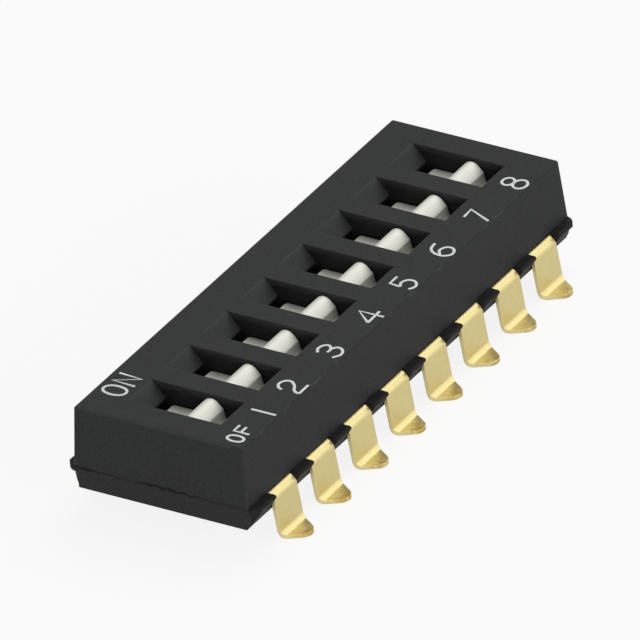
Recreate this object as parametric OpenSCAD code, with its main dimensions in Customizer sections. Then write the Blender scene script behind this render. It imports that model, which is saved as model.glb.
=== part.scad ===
// Surface-mount DIP switch: a row of recessed slide switches in a two-piece moulded body.
// X runs from switch 1 to the last one, +Y is the ON side and +Z is up.
// The origin is the centre of the footprint, on the board's surface. Millimetres.

/* [Layout] */
// Number of switches in the row
positions = 8; // [2:1:12]
// Distance between the centres of neighbouring switches
pitch = 2.54; // [2.4:0.02:3.2]
// Distance from an outer switch's centre to the cover's end, along its top
end_margin = 1.96; // [1.8:0.02:2.6]
// Width of the cover's top, across the row
cover_top_w = 7.02; // [6.8:0.02:7.4]
// Height of the cover's top above the board
total_h = 4.25; // [4.1:0.05:5.5]

/* [Cover] */
// Height of the cover, down to the parting line
cover_h = 2.4; // [2.2:0.05:2.6]
// How far each outer wall of the cover leans out on its way down
cover_draft = 0.13; // [0.02:0.01:0.25]
// Rounding of the cover's top and upright edges
cover_edge_r = 0.1; // [0.04:0.01:0.2]
// Thickness of the roof over the sliders
roof_t = 0.72; // [0.66:0.01:0.8]

/* [Slots] */
// Width of a slot, along the row
slot_w = 1.6; // [1.5:0.02:1.8]
// Length of the slope at each end of a slot
ramp_run = 0.57; // [0.45:0.01:0.7]
// Rounding of the lip at each end of a slot
lip_r = 0.15; // [0.05:0.01:0.25]
// Height of the upright land below the sloping face at each end
land_h = 0.08; // [0.02:0.01:0.2]

/* [Sliders] */
// Distance that a slider moves from OFF to ON
travel = 1.0; // [0.8:0.02:1.1]
// Length of a slider's plate, across the row
plate_l = 3.13; // [3.05:0.01:3.3]
// Thickness of a slider's plate
plate_t = 0.45; // [0.3:0.01:0.55]
// Rounding of the plate's corners, seen from above
plate_corner_r = 0.12; // [0.04:0.01:0.2]
// Length of a knob at its foot, across the row
knob_l = 1.36; // [1.3:0.01:1.5]
// Distance from the middle of a slider's plate to the middle of its knob's foot, towards ON
knob_set = 0.04; // [0:0.01:0.06]
// How far a knob's crest lies below the cover's top
knob_recess = 0.12; // [0.05:0.01:0.16]
// Radius of a knob's rounded crest
crest_r = 0.37; // [0.3:0.01:0.4]
// Slope of a knob's face towards ON, and of its shoulder, in degrees
knob_slope = 47; // [45:0.5:50]
// Height of the edge between a knob's shoulder and its steep face, above the plate
shoulder_h = 0.36; // [0.3:0.01:0.42]
// Width of the two rails under a slider's plate
rail_w = 0.17; // [0.12:0.01:0.19]
// Length of the rails, across the row
rail_l = 2.3; // [2.1:0.05:2.8]

/* [Moving contacts] */
// Thickness of a moving contact's spring strip
contact_t = 0.1; // [0.06:0.01:0.12]
// Distance between its two contact points
contact_span = 1.3; // [1.2:0.02:1.4]
// Length of its flat back, against the slider's plate
contact_back_l = 0.6; // [0.5:0.02:0.7]
// Outer radius of the bends at the ends of its back
arm_bend_r = 0.2; // [0.16:0.01:0.24]
// Outer radius of its contact points
point_r = 0.16; // [0.14:0.01:0.2]
// How far its arms curl up past the contact points, in degrees
point_curl = 50; // [30:5:70]
// Width of the slit that splits each arm into two fingers
slit_w = 0.2; // [0.1:0.02:0.3]
// Radius of the peg that holds it under the slider's plate
peg_r = 0.15; // [0.1:0.01:0.18]

/* [Terminals] */
// Width of a terminal outside the body, along the row
lead_w = 1.5; // [1.3:0.02:1.6]
// Thickness of the terminals' strip
lead_t = 0.15; // [0.1:0.01:0.2]
// Depth of the strip's top below the parting line
lead_drop = 0.04; // [0.03:0.01:0.08]
// Distance from the cover's lower edge to a leg's outer face, below its upper bend
leg_out = 0.26; // [0.22:0.01:0.4]
// How far a leg leans out on its way down
leg_lean = 0.14; // [0:0.01:0.2]
// Outer radius of the upper bend
bend_r = 0.32; // [0.24:0.01:0.4]
// Outer radius of the bend between leg and foot, on the underside
heel_r = 0.38; // [0.3:0.01:0.45]
// Distance from a leg's lower end to the foot's tip
foot_l = 0.83; // [0.7:0.01:1.2]
// Radius of a foot's rounded tip
foot_tip_r = 0.4; // [0.35:0.01:0.55]
// Distance from the cover's lower edge to where a terminal gets wider
neck_depth = 0.45; // [0.35:0.01:0.6]
// Gap between the two fixed contacts of a switch
pad_gap = 0.75; // [0.6:0.05:0.8]

/* [Base] */
// Height of the base, from its underside to the parting line
base_h = 0.88; // [0.75:0.01:0.95]
// How far the base's core stands in from the cover's lower edge, along its sides
core_in = 0.1; // [0.05:0.01:0.18]
// How far the core's walls lean in on their way down
core_lean = 0.03; // [0.01:0.01:0.1]
// Rounding of the core's upright edges
core_corner_r = 0.12; // [0.05:0.01:0.2]
// How far the rims and ribs stand out from the cover's lower edge
rim_out = 0.38; // [0.3:0.01:0.42]
// Thickness of the lip that the rims form at the body's corners
rim_h = 0.22; // [0.15:0.01:0.3]
// Rounding of the upper edge of rims and ribs
rim_edge_r = 0.08; // [0.04:0.01:0.12]
// Rounding of the rims at the body's ends, seen from above
rim_corner_r = 0.5; // [0.3:0.02:0.6]
// Rounding of the ribs at the body's ends, seen from above
rib_corner_r = 0.9; // [0.7:0.02:1.2]
// Radius of the four locating posts
post_r = 0.28; // [0.2:0.01:0.32]
// Height of the locating posts above the parting line
post_h = 0.7; // [0.4:0.05:1.1]
// Bevel at the tips of the locating posts
post_bevel = 0.08; // [0.02:0.01:0.12]
// Distance between the posts at one end, across the row
post_span = 4.2; // [3.2:0.1:5.2]

/* [Fits] */
// Side clearance of a slider in its channel
side_gap = 0.06; // [0.03:0.01:0.08]
// Clearance between a knob and the upright land at each end of its slot
knob_gap = 0.21; // [0.15:0.01:0.3]
// Clearance left at each end of a slider's travel
stop_gap = 0.04; // [0.02:0.01:0.08]
// Clearance between a slider's plate and the roof
roof_gap = 0.09; // [0.05:0.01:0.12]
// Clearance of rails and contact points above the floor
floor_gap = 0.02; // [0.01:0.01:0.05]
// Clearance between a moving contact and the rails beside it
contact_gap = 0.07; // [0.03:0.01:0.1]
// Clearance between a terminal and the ribs beside it
rib_gap = 0.03; // [0.01:0.01:0.06]
// Clearance of the locating posts and the pegs in their holes
post_gap = 0.02; // [0.01:0.01:0.04]

/* [Hidden] */
$fn = 32;
eps = 0.01;
numbers = [1 : positions];
terminals = [1 : 2 * positions];

// Levels above the board
parting_z = total_h - cover_h;
base_z = parting_z - base_h;
roof_z = total_h - roof_t;
plate_z = roof_z - roof_gap;
back_z = plate_z - plate_t;
floor_z = parting_z - lead_drop;
gap_z = floor_z + floor_gap;

// Body, seen from above
row_l = (positions - 1) * pitch;
cover_top_l = row_l + 2 * end_margin;
foot_x = cover_top_l / 2 + cover_draft;
foot_y = cover_top_w / 2 + cover_draft;
core_y = foot_y - core_in;
rim_y = foot_y + rim_out;
post_x = (row_l / 2 + slot_w / 2 + foot_x) / 2;

// Sliders, their channels and slots
slider_w = slot_w - 2 * side_gap;
channel_l = plate_l + travel + 2 * stop_gap;
off_y = -travel / 2;
throat_l = knob_l + travel + 2 * (knob_gap + knob_set);
slot_l = throat_l + 2 * ramp_run;

// Knob outline, measured from the middle of the plate's top
front_y = knob_set + knob_l / 2;
back_y = knob_set - knob_l / 2;
crest_z = roof_gap + roof_t - knob_recess - crest_r;
crest_y = front_y - (crest_r + crest_z * cos(knob_slope)) / sin(knob_slope);
shoulder_y = crest_y - (crest_r - (shoulder_h - crest_z) * cos(knob_slope)) / sin(knob_slope);

// Moving contacts and terminals
contact_w = slider_w - 2 * (rail_w + contact_gap);
pad_w = contact_w;
leg_y = foot_y + leg_out;
leg_foot_y = leg_y + leg_lean;
tip_y = leg_foot_y + foot_l;

function switch_x(n) = (n - (positions + 1) / 2) * pitch;

// Points of an arc around a centre, from one angle to another
function arc(centre, r, from, to, steps = 8) =
    [for (k = [0 : steps]) let (a = from + (to - from) * k / steps) centre + r * [cos(a), sin(a)]];

// Direction of the straight run that leaves one bend and enters the opposite one
function run_angle(a, ra, b, rb) =
    atan2(b[1] - a[1], b[0] - a[0]) - asin((ra + rb) / norm(b - a));

// A list of points and its mirror image, for outlines that are alike on both sides
function both_sides(points) =
    concat(points, [for (k = [len(points) - 1 : -1 : 0]) [-points[k][0], points[k][1]]]);

// Extrudes a YZ outline along the row, centred on X
module along_row(length) {
    rotate([90, 0, 90]) linear_extrude(height = length, center = true) children();
}

// Extrudes an XZ outline across the row, centred on Y
module across_row(width) {
    rotate([90, 0, 0]) linear_extrude(height = width, center = true) children();
}

// Rectangle with round corners, centred
module rounded_rect(length, width, r) {
    square([length, width - 2 * r], center = true);
    square([length - 2 * r, width], center = true);
    for (x = [-1, 1], y = [-1, 1]) translate([x * (length / 2 - r), y * (width / 2 - r)]) circle(r);
}

// Places its children at each switch
module at_switches() {
    for (n = numbers) translate([switch_x(n), 0, 0]) children();
}

// Places its children at the four locating posts, on the parting line
module at_posts() {
    for (x = [-post_x, post_x], y = [-post_span / 2, post_span / 2]) translate([x, y, parting_z]) children();
}

// The cover's outer form: four walls that lean in, with rounded edges
module cover_form() {
    r = cover_edge_r;
    hull() for (x = [-1, 1], y = [-1, 1]) {
        translate([x * (cover_top_l / 2 - r), y * (cover_top_w / 2 - r), total_h - r]) sphere(r);
        translate([x * (foot_x - r), y * (foot_y - r), parting_z]) cylinder(r = r, h = eps);
    }
}

// One slot through the roof: each end slopes down from a round lip to an upright land
module slot_cut() {
    low = [throat_l / 2, roof_z + land_h];
    lip = [slot_l / 2, total_h - lip_r];
    run = lip - low;
    slope = atan2(run[1], run[0]) + asin(lip_r / norm(run));
    along_row(slot_w) polygon(both_sides(concat(
        [[lip[0], total_h + eps]],
        arc(lip, lip_r, 90, 90 + slope, 5),
        [low, [low[0], roof_z - eps]]
    )));
}

// The channel under a slot, open at the parting line, where a slider runs
module channel_cut() {
    translate([-slot_w / 2, -channel_l / 2, parting_z - eps])
        cube([slot_w, channel_l, roof_z - parting_z + eps]);
}

// The moulded cover
module cover() {
    color([0.16, 0.16, 0.17]) difference() {
        cover_form();
        at_switches() {
            slot_cut();
            channel_cut();
        }
        at_posts() translate([0, 0, -eps]) cylinder(r = post_r + post_gap, h = post_h + post_gap + eps);
    }
}

// The base's core in YZ, with its side walls leaning in
module core_section() {
    polygon(both_sides([[core_y, parting_z], [core_y - core_lean, base_z]]));
}

// The base in XZ, with its end walls leaning in
module end_section() {
    polygon(both_sides([[foot_x, parting_z], [foot_x - core_lean, base_z]]));
}

// A rib in YZ: flat on top, round at its edge, then sloping in to the core's lower edge
module rib_section() {
    edge = [rim_y - rim_edge_r, parting_z - rim_edge_r];
    low = [core_y - core_lean, base_z];
    run = edge - low;
    face = atan2(run[1], run[0]) - asin(rim_edge_r / norm(run));
    polygon(concat([[low[0], parting_z]], arc(edge, rim_edge_r, 90, face - 90, 6), [low]));
}

// Ribs along the ON side before the terminals part them, down to a level and with round ends
module ribs_to(level, corner_r) {
    intersection() {
        along_row(2 * foot_x) rib_section();
        translate([0, 0, level]) linear_extrude(height = total_h) rounded_rect(2 * foot_x, 2 * rim_y, corner_r);
    }
}

// Room for the terminals of the ON side, between its ribs
module terminal_gaps() {
    w = lead_w + 2 * rib_gap;
    at_switches() translate([-w / 2, core_y, base_z - eps]) cube([w, 2 * rim_out, base_h + 2 * eps]);
}

// Ribs along the ON side, with a lip that reaches further out at the body's corners
module side_relief() {
    difference() {
        union() {
            ribs_to(base_z - eps, rib_corner_r);
            ribs_to(parting_z - rim_h, rim_corner_r);
        }
        terminal_gaps();
    }
}

// A locating post with a bevelled tip
module post() {
    rotate_extrude() polygon([
        [0, -eps],
        [post_r, -eps],
        [post_r, post_h - post_bevel],
        [post_r - post_bevel, post_h],
        [0, post_h]
    ]);
}

// Room over one fixed contact, so that its top lies bare in the channel's floor
module pad_window(from, to) {
    translate([-pad_w / 2, from, floor_z - lead_t / 2]) cube([pad_w, to - from, lead_t / 2 + lead_drop + eps]);
}

// The moulded base: core, ribs and posts, with the terminals moulded in
module base() {
    color([0.12, 0.12, 0.13]) difference() {
        union() {
            intersection() {
                union() {
                    intersection() {
                        along_row(2 * foot_x) core_section();
                        linear_extrude(height = total_h) rounded_rect(2 * foot_x, 2 * core_y, core_corner_r);
                    }
                    side_relief();
                    mirror([0, 1, 0]) side_relief();
                }
                across_row(2 * rim_y) end_section();
            }
            at_posts() post();
        }
        at_switches() {
            translate([-slot_w / 2, -channel_l / 2, floor_z]) cube([slot_w, channel_l, lead_drop + eps]);
            pad_window(-channel_l / 2, 0);
            pad_window(pad_gap, channel_l / 2);
            off_terminal();
            on_terminal();
        }
    }
}

// The knob in YZ: a slope towards ON, a round crest, a shoulder and a steep face
module knob_section() {
    polygon(concat(
        [[front_y, -plate_t / 2], [front_y, 0]],
        arc([crest_y, crest_z], crest_r, 90 - knob_slope, 90 + knob_slope),
        [[shoulder_y, shoulder_h], [back_y, 0], [back_y, -plate_t / 2]]
    ));
}

// A slider, drawn at OFF: plate, knob, two rails and the peg that holds its contact
module slider(n) {
    color([0.91, 0.90, 0.85]) translate([switch_x(n), off_y, 0]) {
        translate([0, 0, back_z]) linear_extrude(height = plate_t) rounded_rect(slider_w, plate_l, plate_corner_r);
        translate([0, 0, plate_z]) along_row(slider_w) knob_section();
        for (side = [0, 1]) mirror([side, 0, 0])
            translate([slider_w / 2 - rail_w, -rail_l / 2, gap_z]) cube([rail_w, rail_l, back_z - gap_z + eps]);
        translate([0, 0, back_z - 2 * contact_t]) cylinder(r = peg_r, h = 2 * contact_t + eps);
    }
}

// A moving contact in YZ: a strip of even thickness from one curled end over its back to the other
module contact_section() {
    bend = [contact_back_l / 2, back_z - arm_bend_r];
    point = [contact_span / 2, gap_z + point_r];
    arm = run_angle(bend, arm_bend_r, point, point_r - contact_t);
    polygon(both_sides(concat(
        arc(bend, arm_bend_r, 90, arm + 90),
        arc(point, point_r - contact_t, arm - 90, point_curl - 90),
        arc(point, point_r, point_curl - 90, arm - 90),
        arc(bend, arm_bend_r - contact_t, arm + 90, 90)
    )));
}

// A moving contact, drawn at OFF: it hangs on the slider's peg and has two fingers at each end
module contact(n) {
    color([0.85, 0.73, 0.45]) translate([switch_x(n), off_y, 0]) difference() {
        along_row(contact_w) contact_section();
        translate([0, 0, back_z - 2 * contact_t]) cylinder(r = peg_r + post_gap, h = 3 * contact_t);
        for (side = [0, 1]) mirror([0, side, 0])
            translate([-slit_w / 2, contact_back_l / 2, floor_z])
                cube([slit_w, contact_span, back_z - floor_z - arm_bend_r]);
    }
}

// A terminal of the ON side in YZ, from its inner end to its foot
module lead_section(inner_y) {
    bend = [leg_y - bend_r, floor_z - bend_r];
    heel = [leg_foot_y + heel_r - lead_t, heel_r];
    leg = run_angle(bend, bend_r, heel, heel_r - lead_t);
    polygon(concat(
        [[inner_y, floor_z - lead_t], [inner_y, floor_z]],
        arc(bend, bend_r, 90, leg + 90),
        arc(heel, heel_r - lead_t, leg - 90, -90),
        [[tip_y, lead_t], [tip_y, 0]],
        arc(heel, heel_r, -90, leg - 90),
        arc(bend, bend_r - lead_t, leg + 90, 90)
    ));
}

// Its plan: a narrow contact inside, a wide leg, and a foot that narrows to a round tip
module lead_plan(inner_y) {
    side = [lead_w / 2, leg_foot_y];
    tip = [0, tip_y - foot_tip_r];
    run = side - tip;
    touch = atan2(run[1], run[0]) + acos(foot_tip_r / norm(run));
    neck_y = foot_y - neck_depth;
    polygon(both_sides([
        [pad_w / 2, inner_y - eps],
        [pad_w / 2, neck_y],
        [lead_w / 2, neck_y + (lead_w - pad_w) / 2],
        side,
        tip + foot_tip_r * [cos(touch), sin(touch)]
    ]));
    translate(tip) circle(foot_tip_r);
}

// A whole terminal of the ON side
module lead(inner_y) {
    intersection() {
        along_row(lead_w + 2 * eps) lead_section(inner_y);
        translate([0, 0, -eps]) linear_extrude(height = parting_z) lead_plan(inner_y);
    }
}

// The terminal on the ON side: its contact starts past the gap
module on_terminal() {
    lead(pad_gap);
}

// The terminal on the OFF side: its contact ends at the middle of the row
module off_terminal() {
    mirror([0, 1, 0]) lead(0);
}

// Terminals are numbered along the OFF side, then back along the ON side
module terminal(n) {
    color([0.87, 0.78, 0.52])
        if (n <= positions) translate([switch_x(n), 0, 0]) off_terminal();
        else translate([switch_x(2 * positions + 1 - n), 0, 0]) on_terminal();
}

cover();
base();
for (n = numbers) slider(n);
for (n = numbers) contact(n);
for (n = terminals) terminal(n);
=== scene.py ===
"""Finishes for a surface-mount DIP switch: moulded plastics, gold strip and white print, in a pale studio."""

import math

import bpy
from bpy.props import FloatProperty, FloatVectorProperty, PointerProperty
from mathutils import Matrix, Vector


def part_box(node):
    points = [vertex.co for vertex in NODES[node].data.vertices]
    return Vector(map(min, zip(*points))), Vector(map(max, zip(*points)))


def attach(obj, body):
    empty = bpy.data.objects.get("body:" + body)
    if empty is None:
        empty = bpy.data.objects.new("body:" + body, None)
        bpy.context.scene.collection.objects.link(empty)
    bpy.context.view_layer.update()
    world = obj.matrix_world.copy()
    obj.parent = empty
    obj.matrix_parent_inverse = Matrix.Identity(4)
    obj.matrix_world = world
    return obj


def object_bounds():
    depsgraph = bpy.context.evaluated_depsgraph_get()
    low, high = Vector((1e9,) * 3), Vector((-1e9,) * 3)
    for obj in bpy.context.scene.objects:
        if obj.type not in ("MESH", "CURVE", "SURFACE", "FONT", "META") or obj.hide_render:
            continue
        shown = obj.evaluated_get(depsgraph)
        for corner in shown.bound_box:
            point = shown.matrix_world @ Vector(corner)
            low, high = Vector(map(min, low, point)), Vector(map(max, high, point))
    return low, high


bl_info = {
    "name": "DIP switch finishes",
    "version": (1, 0, 0),
    "blender": (4, 5, 0),
    "location": "3D View > Sidebar > DIP switch",
    "description": "Gives a DIP switch its plastics, metals, print and studio",
    "category": "Object",
}

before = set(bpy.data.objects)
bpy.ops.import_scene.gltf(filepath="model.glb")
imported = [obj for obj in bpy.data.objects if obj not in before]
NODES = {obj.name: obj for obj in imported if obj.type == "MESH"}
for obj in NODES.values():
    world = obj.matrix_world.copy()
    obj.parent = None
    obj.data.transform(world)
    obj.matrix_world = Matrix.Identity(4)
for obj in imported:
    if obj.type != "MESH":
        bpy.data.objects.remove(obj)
CAD_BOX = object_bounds()

MM = 0.001
MICRON = 0.000001
SWITCHES = sum(name.startswith("slider_") for name in NODES)
SLOT_MIDDLES = [sum(corner.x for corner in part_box(f"slider_{n + 1}")) / 2 for n in range(SWITCHES)]
TOP_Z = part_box("cover")[1].z
SEAM_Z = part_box("cover")[0].z
COVER_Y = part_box("cover")[1].y
TIP_Y = CAD_BOX[1].y

# How far the painted shadow along the parting line reaches, and how far the line wanders up and down
SEAM_REACH = 0.1 * MM
SEAM_WANDER = 0.3 * MM
# The slots' slants lie within this distance of the cover's middle line, and its outer edges beyond it
SLANT_REACH = COVER_Y - 0.6 * MM
# Share of the base's colour that its ribs between the terminals keep, as painted shade
RIB_PAINTED_SHADE = 0.6
# Length of each foot's tip over which its plating turns amber in blotches
TIP_AMBER_REACH = 0.75 * MM

# Sizes of the spots in which the finishes vary
CLOUD_SPOT = 1.4 * MM
EDGE_SPOT = 0.9 * MM
SEAM_SPOT = 2 * MM
SEAM_NOTCH = 0.3 * MM
TIP_SPOT = 0.25 * MM
INK_SPOT = 0.08 * MM
PAPER_SPOT = 6 * MM
INK_DEPTH = 1.5 * MICRON

PLASTIC_IOR = 1.5
INK_GLOSS = 0.3
# A face is square to the part above the first of these, and fully aslant below the second
SQUARE_FACE = 0.99
SLANTED_FACE = 0.93

# The camera aims a little right of and under the middle of the cover's top
AIM_RIGHT = 0.0887 * MM
AIM_DOWN = 1.3309 * MM
SENSOR_WIDTH = 36
NEAREST, FARTHEST = 0.01, 10
FLOOR_REACH = 1.5
FLOOR_GAP = 2 * MICRON

# Each lamp's direction, distance, width and height, and the setting with its power
LAMPS = {
    "overhead_lamp": ((0.5, 0.1, 0.86), 0.30, 0.24, 0.24, "key"),
    "side_lamp": ((0.0, -0.92, 0.38), 0.28, 0.30, 0.08, "side"),
    "glint_lamp": ((0.7, -0.55, 0.45), 0.28, 0.10, 0.10, "glint"),
    "end_lamp": ((-0.95, -0.2, 0.10), 0.28, 0.24, 0.05, "end"),
}


def colour(name, description, default):
    return FloatVectorProperty(name=name, description=description, default=default, subtype="COLOR", min=0, max=1)


def length(name, description, default):
    return FloatProperty(name=name, description=description, default=default, unit="LENGTH", precision=6, min=0)


def share(name, description, default):
    return FloatProperty(name=name, description=description, default=default, subtype="FACTOR", min=0, max=1)


class DipBodySettings(bpy.types.PropertyGroup):
    """Finish of the two black mouldings"""

    cover: colour("Cover", "Plastic of the cover", (0.0258, 0.0265, 0.0265))
    base: colour("Base", "Plastic of the base", (0.0255, 0.0255, 0.0260))
    roughness: share("Roughness", "How matt the cover is", 0.5)
    base_roughness: share("Base roughness", "How matt the base is", 0.6)
    gloss: share("Gloss", "How strongly the cover mirrors light", 0.05)
    base_gloss: share("Base gloss", "How strongly the base mirrors light", 0.06)
    grain: length("Grain", "Size of the grain that the mould left", 0.07 * MM)
    grain_depth: length("Grain depth", "Depth of that grain", 0.9 * MICRON)
    edge: length("Edge", "How soft the cover's edges look", 0.04 * MM)
    # Share by which slants and random stretches of the cover's outer edges are painted paler, as painted light
    painted_slant_light: share("Slant light", "How much paler the cover's slants are than its other faces", 1.0)
    base_edge: length("Base edge", "How soft the base's edges look", 0.09 * MM)


class DipSliderSettings(bpy.types.PropertyGroup):
    """Finish of the cream sliders"""

    plastic: colour("Plastic", "Plastic of the sliders", (0.765, 0.765, 0.685))
    roughness: share("Roughness", "How matt the sliders are", 0.42)
    grain: length("Grain", "Size of the unevenness of their faces", 0.09 * MM)
    grain_depth: length("Grain depth", "Depth of that unevenness", 0.8 * MICRON)
    edge: length("Edge", "How soft the moulded edges look", 0.04 * MM)


class DipMetalSettings(bpy.types.PropertyGroup):
    """Finish of terminals and moving contacts"""

    gold: colour("Gold", "Plating of the terminals", (0.605, 0.52, 0.248))
    tip: colour("Amber tip", "Amber plating at the ends of the feet", (0.47, 0.32, 0.085))
    contact: colour("Contact", "Plating of the moving contacts", (0.70, 0.58, 0.30))
    roughness: share("Roughness", "How dull the plating is", 0.45)
    streak: length("Streak", "Width of the rolling marks along the strip", 0.03 * MM)
    streak_depth: length("Streak depth", "Depth of those marks", 0.5 * MICRON)
    edge: length("Edge", "How soft the stamped edges look", 0.03 * MM)


class DipPrintSettings(bpy.types.PropertyGroup):
    """The white marks on the cover"""

    ink: colour("Ink", "Colour of the marks", (0.69, 0.73, 0.72))
    stroke: length("Stroke", "Width of a stroke", 0.11 * MM)
    height: length("Height", "How far the ink stands on the cover", 0.012 * MM)


class DipStageSettings(bpy.types.PropertyGroup):
    """Floor, light and camera"""

    floor: colour("Floor", "Colour of the floor", (0.80, 0.80, 0.80))
    glow: share("Glow", "Share of the floor's white that needs no light", 0.87)
    sky: share("Surroundings", "Strength of the light from all round", 0.25)
    key: FloatProperty(name="Overhead lamp", description="Power of the lamp overhead", default=0.50, unit="POWER",
                       min=0)
    side: FloatProperty(name="Side lamp", description="Power of the low lamp in front", default=0.39, unit="POWER",
                        min=0)
    glint: FloatProperty(name="Glint lamp", description="Power of the small lamp that shows in the metal",
                         default=0.045, unit="POWER", min=0)
    end: FloatProperty(name="End lamp", description="Power of the lamp near the floor by the first switch",
                       default=0.36, unit="POWER", min=0)
    azimuth: FloatProperty(name="Azimuth", description="Camera's way round the part", subtype="ANGLE",
                           default=math.radians(-55.806))
    elevation: FloatProperty(name="Elevation", description="Camera's height over the horizon", subtype="ANGLE",
                             default=math.radians(31.031))
    roll: FloatProperty(name="Roll", description="Camera's turn about its own line of sight", subtype="ANGLE",
                        default=math.radians(-5.110))
    distance: length("Distance", "From the middle of the cover's top to the camera", 889.23 * MM)
    lens: FloatProperty(name="Lens", description="Focal length for a 36 mm sensor", default=1406.25, unit="CAMERA")


class Wire:
    """A shader socket that can stand in Python expressions, each of which adds a Math node"""

    def __init__(self, tree, socket):
        self.tree = tree
        self.socket = socket

    def math(self, operation, *values):
        node = self.tree.nodes.new("ShaderNodeMath")
        node.operation = operation
        for place, value in zip(node.inputs, values):
            join(self.tree, value, place)
        return Wire(self.tree, node.outputs[0])

    def __add__(self, other):
        return self.math("ADD", self, other)

    def __radd__(self, other):
        return self.math("ADD", other, self)

    def __sub__(self, other):
        return self.math("SUBTRACT", self, other)

    def __rsub__(self, other):
        return self.math("SUBTRACT", other, self)

    def __mul__(self, other):
        return self.math("MULTIPLY", self, other)

    def __rmul__(self, other):
        return self.math("MULTIPLY", other, self)


def join(tree, value, place):
    """Links a wire to an input, or writes a plain value there"""
    if isinstance(value, Wire):
        tree.links.new(value.socket, place)
    elif isinstance(place.default_value, float):
        place.default_value = value
    else:
        place.default_value = tuple(value) + (1.0,) * (len(place.default_value) - len(value))


class Graph:
    """A node tree, and one way to add any node to it"""

    def __init__(self, tree):
        self.tree = tree

    def add(self, kind, settings=None, out=0, **sockets):
        node = self.tree.nodes.new("ShaderNode" + kind)
        for name, value in (settings or {}).items():
            setattr(node, name, value)
        for name, value in sockets.items():
            join(self.tree, value, node.inputs[int(name[1:]) if name[1:].isdigit() else name.replace("_", " ")])
        return Wire(self.tree, node.outputs[out])

    def blend(self, factor, low, high):
        return self.add("Mix", {"data_type": "RGBA"}, out=2, _0=factor, _6=low, _7=high)

    def seen(self):
        """1 for rays from the camera and for what gloss and glass show, 0 for light that bounces about"""
        camera, gloss, glass = (self.add("LightPath", out=f"Is {ray} Ray")
                                for ray in ("Camera", "Glossy", "Transmission"))
        return camera.math("MAXIMUM", camera.math("MAXIMUM", camera, gloss), glass)


class Finish(Graph):
    """A material in the making"""

    def __init__(self, name, **fixed):
        self.material = bpy.data.materials.new(name)
        self.material.use_nodes = True
        super().__init__(self.material.node_tree)
        self.shader = self.tree.nodes["Principled BSDF"]
        for socket, value in fixed.items():
            join(self.tree, value, self.shader.inputs[socket.replace("_", " ").title().replace("Ior", "IOR")])

    def place(self, x=1.0, y=1.0, z=1.0):
        """Object coordinates, stretched by a factor along each axis"""
        here = self.add("TexCoord", out=3)
        return self.add("VectorMath", {"operation": "MULTIPLY"}, _0=here, _1=(x, y, z))

    def noise(self, size, detail=3.0, stretch=(1.0, 1.0, 1.0)):
        """Grey noise from 0 to 1 whose spots are about size across"""
        return self.add("TexNoise", Vector=self.place(*stretch), Scale=1 / size, Detail=detail, Roughness=0.6)

    def relief(self, depth, height, edge=0.0):
        """Unevenness of a surface, on edges that look rounded by a radius"""
        soft = {"Normal": self.add("Bevel", {"samples": 6}, Radius=edge)} if edge else {}
        return self.add("Bump", Height=height, Distance=depth, Strength=1.0, **soft)

    def slanting(self):
        """1 on faces that stand aslant inside the cover's outer edges and on random stretches of those edges,
        which are painted paler as painted light
        """
        facing = self.add("NewGeometry", out="Normal")
        parts = [self.add("SeparateXYZ", out=axis, Vector=facing) for axis in range(3)]
        x, y, z = (part.math("ABSOLUTE", part) for part in parts)
        squareness = x.math("MAXIMUM", x.math("MAXIMUM", x, y), z)
        aslant = self.add("MapRange", {"interpolation_type": "SMOOTHSTEP"}, Value=squareness,
                          From_Min=SQUARE_FACE, From_Max=SLANTED_FACE)
        inside = 1 - self.outboard(SLANT_REACH)
        # Random stretches of the outer edges that are painted paler too, as painted light
        painted_paler = self.add("MapRange", Value=self.noise(EDGE_SPOT, 4.0), From_Min=0.53, From_Max=0.6)
        return aslant * inside.math("MAXIMUM", inside, painted_paler)

    def outboard(self, reach):
        """1 farther than reach from the middle line, along both long sides, and 0 nearer"""
        across = self.add("SeparateXYZ", out=1, Vector=self.place())
        return across.math("GREATER_THAN", across.math("ABSOLUTE", across), reach)

    def seam_shade(self):
        """Painted shadow: the uneven dark line where cover and base meet"""
        wander = (self.noise(SEAM_NOTCH) - 0.5) * SEAM_WANDER
        above = self.add("SeparateXYZ", out=2, Vector=self.place()) - SEAM_Z + wander
        near = self.add("MapRange", {"interpolation_type": "SMOOTHSTEP"}, Value=above.math("ABSOLUTE", above),
                        From_Min=SEAM_REACH, From_Max=0.0)
        darkness = self.add("MapRange", Value=self.noise(SEAM_SPOT), From_Min=0.42, From_Max=0.6, To_Min=0.15)
        return near * darkness

    def surface(self, **wires):
        for name, wire in wires.items():
            join(self.tree, wire, self.shader.inputs[name.replace("_", " ")])
        return self.material


def shade_of(base, factor):
    return [channel * factor for channel in base]


def black_plastic(name, base, roughness, gloss, edge, painted_slant_light, grain, depth):
    """Mottled plastic, darker along the parting line as painted shadow, painted paler by a share on slants and
    random stretches of the outer edges as painted light, and darker on the ribs between the terminals as painted
    shade
    """
    finish = Finish(name, specular_ior_level=gloss, ior=PLASTIC_IOR)
    fine = finish.noise(grain, 4.0)
    cloud = finish.noise(CLOUD_SPOT, 2.0)
    mottle = cloud * 0.3 + finish.add("MapRange", Value=fine, From_Min=0.38, From_Max=0.62) * 0.7
    moulded = finish.blend(mottle, shade_of(base, 0.8), shade_of(base, 1.25))
    # Painted light: a paler copy of the plastic for slants and stretches of the outer edges
    painted_paler = finish.blend(mottle, shade_of(base, 1.3), shade_of(base, 1.8))
    slant_painted_lighter = finish.blend(finish.slanting() * painted_slant_light, moulded, painted_paler)
    # Painted shadow along the parting line
    seamed = finish.blend(finish.seam_shade(), slant_painted_lighter, shade_of(base, 0.3))
    # Painted shade: beyond the cover's sides, on the ribs between the terminals, the base is darker
    tone = finish.blend(finish.outboard(COVER_Y), seamed, shade_of(base, RIB_PAINTED_SHADE))
    return finish.surface(
        Base_Color=tone,
        Roughness=roughness - 0.06 + fine * 0.12,
        Normal=finish.relief(depth, fine, edge),
    )


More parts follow.
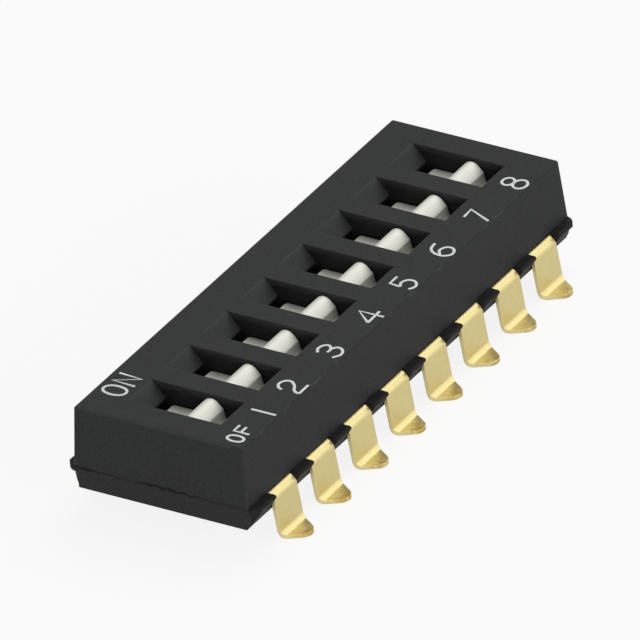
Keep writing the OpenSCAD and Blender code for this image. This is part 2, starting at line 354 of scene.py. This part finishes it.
def cream_plastic(name, base, roughness, grain, depth, edge):
    """Smooth plastic with faint flow marks along the slider"""
    finish = Finish(name, specular_ior_level=0.5, ior=PLASTIC_IOR)
    flow = finish.noise(grain * 6, 2.0, (1.0, 0.4, 1.0))
    fine = finish.noise(grain)
    tone = finish.blend(flow, shade_of(base, 0.96), shade_of(base, 1.03))
    return finish.surface(
        Base_Color=tone,
        Roughness=roughness - 0.05 + fine * 0.1,
        Normal=finish.relief(depth, fine, edge),
    )


def plated_strip(name, base, tip, roughness, streak, depth, edge):
    """Gold plating with rolling marks along the strip, turning to another colour in blotches at the feet's tips"""
    finish = Finish(name, metallic=1.0)
    marks = finish.noise(streak, 2.0, (1.0, 0.08, 0.08))
    spots = finish.noise(streak * 8)
    plating = finish.blend(spots, shade_of(base, 0.93), shade_of(base, 1.05))
    across = finish.add("SeparateXYZ", out=1, Vector=finish.place())
    end = finish.add("MapRange", {"interpolation_type": "SMOOTHSTEP"}, Value=across.math("ABSOLUTE", across),
                     From_Min=TIP_Y - TIP_AMBER_REACH, From_Max=TIP_Y)
    blotches = finish.add("MapRange", Value=finish.noise(TIP_SPOT), From_Min=0.4, From_Max=0.56)
    tone = finish.blend(end * blotches, plating, tip)
    return finish.surface(
        Base_Color=tone,
        Roughness=roughness - 0.05 + marks * 0.06 + spots * 0.06,
        Normal=finish.relief(depth, marks + spots * 0.5, edge),
    )


def dress(names, material):
    """Gives CAD nodes one material"""
    for name in names:
        slots = NODES[name].data.materials
        slots.clear()
        slots.append(material)


class DIP_OT_body(bpy.types.Operator):
    """Gives the cover and the base their black moulded plastics"""

    bl_idname = "dip_switch.body"
    bl_label = "Cover and base"

    def execute(self, context):
        look = context.scene.dip_body
        cover = black_plastic("cover_plastic", look.cover, look.roughness, look.gloss, look.edge, look.painted_slant_light,
                              look.grain, look.grain_depth)
        base = black_plastic("base_plastic", look.base, look.base_roughness, look.base_gloss, look.base_edge, 0.0,
                             look.grain, look.grain_depth / 2)
        dress(["cover"], cover)
        dress(["base"], base)
        return {"FINISHED"}


class DIP_OT_sliders(bpy.types.Operator):
    """Gives the sliders their cream plastic"""

    bl_idname = "dip_switch.sliders"
    bl_label = "Sliders"

    def execute(self, context):
        look = context.scene.dip_sliders
        cream = cream_plastic("slider_plastic", look.plastic, look.roughness, look.grain, look.grain_depth,
                              look.edge)
        dress([name for name in NODES if name.startswith("slider_")], cream)
        return {"FINISHED"}


class DIP_OT_metal(bpy.types.Operator):
    """Gives terminals and moving contacts their gold plating"""

    bl_idname = "dip_switch.metal"
    bl_label = "Terminals and contacts"

    def execute(self, context):
        look = context.scene.dip_metal
        marks = look.roughness, look.streak, look.streak_depth, look.edge
        gold = plated_strip("terminal_gold", look.gold, look.tip, *marks)
        spring = plated_strip("contact_gold", look.contact, look.contact, *marks)
        dress([name for name in NODES if name.startswith("terminal_")], gold)
        dress([name for name in NODES if name.startswith("contact_")], spring)
        return {"FINISHED"}


def ring(x, y, half_width, half_height):
    """A closed oval stroke"""
    quarter = [(x, y + half_height), (x + half_width, y), (x, y - half_height), (x - half_width, y)]
    return {"points": quarter, "closed": True, "smooth": True}


def curve(*points):
    """A smooth stroke through the points"""
    return {"points": points, "closed": False, "smooth": True}


def line(*points):
    """Straight strokes from point to point"""
    return {"points": points, "closed": False, "smooth": False}


# Strokes of the numbers in millimetres, across from each switch's middle
NUMBERS = [
    [line((0.55, -2.38), (0.55, -3.40))],
    [curve((-0.42, -2.66), (-0.30, -2.45), (-0.04, -2.37), (0.20, -2.60), (0.04, -2.90), (-0.32, -3.14),
           (-0.41, -3.36)), line((-0.41, -3.37), (0.23, -3.37))],
    [curve((-0.27, -2.50), (0.00, -2.38), (0.30, -2.58), (0.13, -2.81), (-0.12, -2.82)),
     curve((0.13, -2.81), (0.32, -3.03), (0.00, -3.345), (-0.36, -3.17))],
    [line((-0.33, -3.08), (0.49, -3.06)), line((-0.33, -3.08), (0.23, -2.38), (0.24, -3.40))],
    [line((0.25, -2.39), (-0.24, -2.39), (-0.28, -2.84)),
     curve((-0.28, -2.84), (0.02, -2.745), (0.27, -3.01), (-0.02, -3.34), (-0.31, -3.21))],
    [curve((0.23, -2.43), (-0.17, -2.53), (-0.38, -2.90), (-0.32, -3.24), (-0.08, -3.385), (0.235, -3.10),
           (-0.03, -2.83), (-0.35, -2.99))],
    [line((-0.30, -2.43), (0.26, -2.40), (-0.18, -3.38))],
    [ring(-0.07, -2.61, 0.255, 0.225), ring(-0.065, -3.108, 0.30, 0.262)],
]
# Strokes of the two words beside the first switch, from the cover's middle
WORDS = {
    "off": [ring(-10.272, -2.908, 0.188, 0.325), line((-9.45, -2.575), (-9.85, -2.575), (-9.85, -3.22)),
            line((-9.85, -2.865), (-9.47, -2.865))],
    "on": [ring(-9.272, 2.743, 0.288, 0.467),
           line((-8.76, 2.22), (-8.72, 3.19), (-8.25, 2.25), (-8.19, 3.21))],
}


def print_strokes(name, strokes, across, look, ink):
    """Lays flat strokes with round ends on the cover's top, as one mesh"""
    data = bpy.data.curves.new(name, "CURVE")
    data.dimensions = "3D"
    data.bevel_depth = look.stroke / 2
    data.bevel_resolution = 3
    data.resolution_u = 8
    data.use_fill_caps = True
    for stroke in strokes:
        spline = data.splines.new("BEZIER")
        spline.bezier_points.add(len(stroke["points"]) - 1)
        spline.use_cyclic_u = stroke["closed"]
        for knot, (x, y) in zip(spline.bezier_points, stroke["points"]):
            knot.co = (across + x * MM, y * MM, 0)
            knot.handle_left_type = knot.handle_right_type = "AUTO" if stroke["smooth"] else "VECTOR"
    drawn = bpy.data.objects.new(name + "_drawn", data)
    bpy.context.scene.collection.objects.link(drawn)
    bpy.context.view_layer.update()
    mesh = bpy.data.meshes.new_from_object(drawn.evaluated_get(bpy.context.evaluated_depsgraph_get()))
    bpy.data.objects.remove(drawn)
    mesh.transform(Matrix.Translation((0, 0, TOP_Z)) @ Matrix.Diagonal((1, 1, 2 * look.height / look.stroke, 1)))
    mesh.name = name
    mesh.materials.clear()
    mesh.materials.append(ink)
    piece = bpy.data.objects.new(name, mesh)
    bpy.context.scene.collection.objects.link(piece)
    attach(piece, "housing")


class DIP_OT_print(bpy.types.Operator):
    """Prints the switch numbers and the words for the two positions on the cover"""

    bl_idname = "dip_switch.print"
    bl_label = "Print"

    def execute(self, context):
        look = context.scene.dip_print
        finish = Finish("white_ink", specular_ior_level=INK_GLOSS)
        wear = finish.noise(INK_SPOT, 4.0)
        ink = finish.surface(
            Base_Color=finish.blend(wear, shade_of(look.ink, 0.82), shade_of(look.ink, 1.1)),
            Roughness=0.5 + wear * 0.2,
            Normal=finish.relief(INK_DEPTH, wear),
        )
        for n, (middle, strokes) in enumerate(zip(SLOT_MIDDLES, NUMBERS)):
            print_strokes(f"print_{n + 1}", strokes, middle, look, ink)
        for word, strokes in WORDS.items():
            print_strokes(f"print_{word}", strokes, 0.0, look, ink)
        return {"FINISHED"}


def area_light(name, towards, distance, width, height, power):
    """A soft lamp that faces the middle of the part, its width level"""
    data = bpy.data.lights.new(name, "AREA")
    data.shape = "RECTANGLE"
    data.size = width
    data.size_y = height
    data.energy = power
    lamp = bpy.data.objects.new(name, data)
    lamp.location = Vector(towards).normalized() * distance
    lamp.rotation_euler = (-lamp.location).to_track_quat("-Z", "Y").to_euler()
    bpy.context.scene.collection.objects.link(lamp)


class DIP_OT_stage(bpy.types.Operator):
    """Sets up the floor, the soft light and the camera"""

    bl_idname = "dip_switch.stage"
    bl_label = "Studio"

    def execute(self, context):
        look = context.scene.dip_stage
        self.camera(context.scene, look)
        self.floor(look)
        self.world(context.scene, look)
        for name, (towards, distance, width, height, power) in LAMPS.items():
            area_light(name, towards, distance, width, height, getattr(look, power))
        context.scene.view_settings.view_transform = "Standard"
        return {"FINISHED"}

    def camera(self, scene, look):
        """A long lens from afar, turned a little about its own line of sight"""
        back = Vector((math.sin(look.azimuth) * math.cos(look.elevation),
                       -math.cos(look.azimuth) * math.cos(look.elevation), math.sin(look.elevation)))
        level = Vector((math.cos(look.azimuth), math.sin(look.azimuth), 0))
        upright = back.cross(level)
        right = level * math.cos(look.roll) + upright * math.sin(look.roll)
        up = upright * math.cos(look.roll) - level * math.sin(look.roll)
        data = bpy.data.cameras.new("photo_view")
        data.lens = look.lens
        data.sensor_width = SENSOR_WIDTH
        data.clip_start = NEAREST
        data.clip_end = FARTHEST
        view = bpy.data.objects.new("photo_view", data)
        aim = Vector((0, 0, TOP_Z)) + right * AIM_RIGHT - up * AIM_DOWN
        turn = Matrix((right, up, back)).transposed().to_4x4()
        view.matrix_world = Matrix.Translation(aim + back * look.distance) @ turn
        scene.collection.objects.link(view)
        scene.camera = view

    def floor(self, look):
        """White paper that glows a little towards the camera and keeps the shadow"""
        finish = Finish("floor_paper", specular_ior_level=0.0, roughness=0.9, emission_strength=1.0)
        speck = finish.noise(PAPER_SPOT, 2.0)
        seen = finish.seen()
        paper = finish.blend(speck, shade_of(look.floor, 0.995), look.floor)
        finish.surface(
            Base_Color=finish.blend(seen * look.glow, paper, (0, 0, 0)),
            Emission_Color=finish.blend(seen * look.glow, (0, 0, 0), (1, 1, 1)),
        )
        mesh = bpy.data.meshes.new("floor")
        corners = ((-1, -1), (1, -1), (1, 1), (-1, 1))
        mesh.from_pydata([(x * FLOOR_REACH, y * FLOOR_REACH, 0) for x, y in corners], [], [(0, 1, 2, 3)])
        mesh.materials.append(finish.material)
        floor = bpy.data.objects.new("floor", mesh)
        floor.location.z = -FLOOR_GAP
        bpy.context.scene.collection.objects.link(floor)

    def world(self, scene, look):
        """White for the camera and for reflections, and a weaker light on everything else"""
        world = bpy.data.worlds.new("surroundings")
        world.use_nodes = True
        graph = Graph(world.node_tree)
        sky = graph.tree.nodes["Background"]
        join(graph.tree, (1, 1, 1), sky.inputs["Color"])
        join(graph.tree, look.sky + graph.seen() * (1 - look.sky), sky.inputs["Strength"])
        scene.world = world


class DIP_PT_panel(bpy.types.Panel):
    """Lists the pieces of the DIP switch and its studio"""

    bl_label = "DIP switch"
    bl_idname = "DIP_PT_panel"
    bl_space_type = "VIEW_3D"
    bl_region_type = "UI"
    bl_category = "DIP switch"

    def draw(self, context):
        for operator in OPERATORS:
            self.layout.operator(operator.bl_idname)
        for name, group in SETTINGS.items():
            box = self.layout.box()
            for prop in group.__annotations__:
                box.prop(getattr(context.scene, name), prop)


SETTINGS = {
    "dip_body": DipBodySettings,
    "dip_sliders": DipSliderSettings,
    "dip_metal": DipMetalSettings,
    "dip_print": DipPrintSettings,
    "dip_stage": DipStageSettings,
}
OPERATORS = (DIP_OT_body, DIP_OT_sliders, DIP_OT_metal, DIP_OT_print, DIP_OT_stage)


def register():
    for name, group in SETTINGS.items():
        bpy.utils.register_class(group)
        setattr(bpy.types.Scene, name, PointerProperty(type=group))
    for cls in (*OPERATORS, DIP_PT_panel):
        bpy.utils.register_class(cls)


def unregister():
    for cls in (DIP_PT_panel, *reversed(OPERATORS)):
        bpy.utils.unregister_class(cls)
    for name, group in SETTINGS.items():
        delattr(bpy.types.Scene, name)
        bpy.utils.unregister_class(group)


def main():
    register()
    for operator in OPERATORS:
        family, name = operator.bl_idname.split(".")
        getattr(getattr(bpy.ops, family), name)()


if __name__ == "__main__":
    main()
